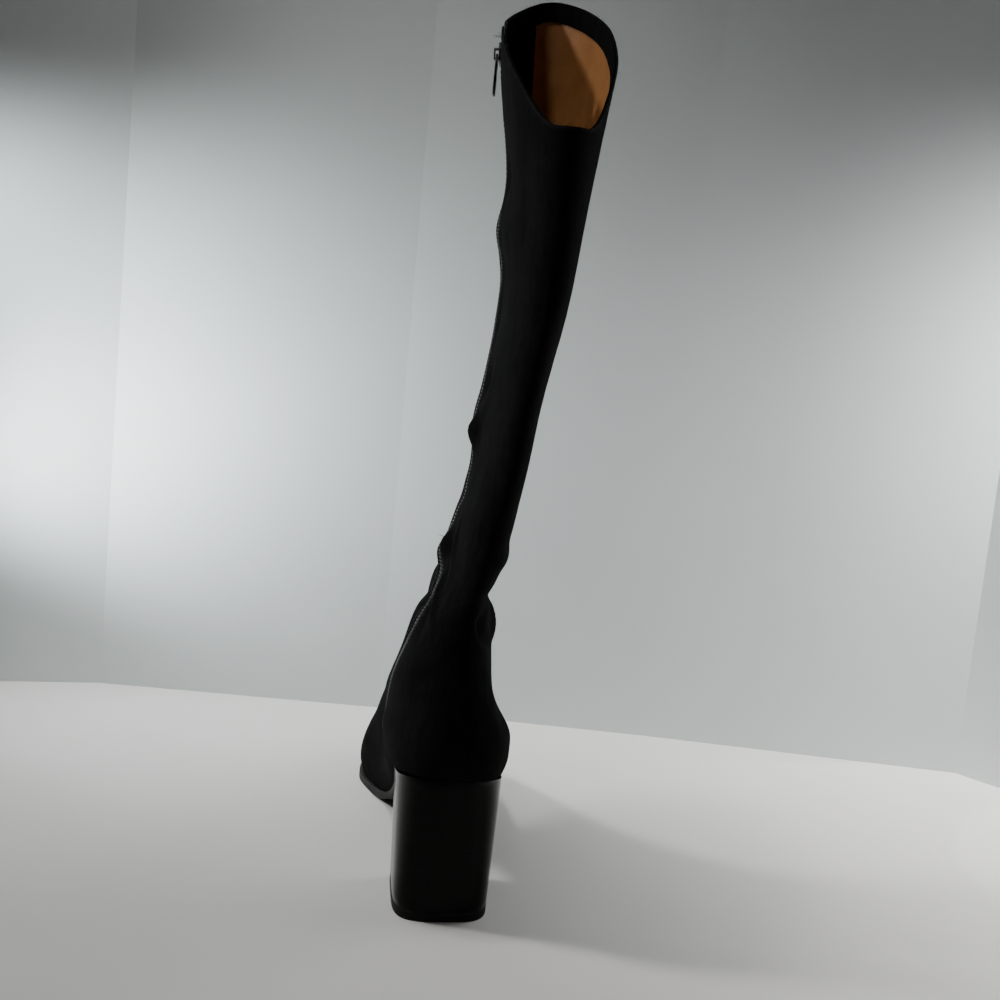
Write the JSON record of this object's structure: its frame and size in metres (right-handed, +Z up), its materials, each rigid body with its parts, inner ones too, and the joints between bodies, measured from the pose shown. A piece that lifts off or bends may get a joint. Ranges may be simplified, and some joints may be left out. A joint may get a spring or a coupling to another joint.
{
  "type": "over-the-knee boot",
  "caption": "Right over-the-knee boot of black microsuede: tall slack shaft cut down behind the knee, long inner side zip, thin sole and a glossy block heel.",
  "frame": {"origin": "on the floor, at the middle of the heel's base", "axes": "+Z up, the toe points along +Y, +X is the wearer's right and outer side"},
  "size_m": [0.1053, 0.2693, 0.5251],
  "materials": {
    "black_suede": "napped microsuede",
    "tan_sock": "smooth sock lining",
    "sole_unit": "satin",
    "gloss_heel": "polished",
    "top_rubber": "matte",
    "zip_tape": "woven tape with a nylon coil",
    "dark_metal": "black enamelled metal"
  },
  "bodies": {
    "boot": {"upper": "black_suede", "insole": "tan_sock", "outsole": "sole_unit", "heel_block": "gloss_heel", "heel_top_piece": "top_rubber", "zip_chain": "zip_tape", "zip_slider": "dark_metal"},
    "pull": {"zip_pull": "dark_metal"}
  },
  "joints": [
    {"name": "pull_swing", "type": "hinge", "parent": "boot", "child": "pull", "pos_m": [-0.00297, 0.07279, 0.4738], "axis": [0.1807, 0.9832, -0.0237], "range_deg": [0, 150]}
  ]
}
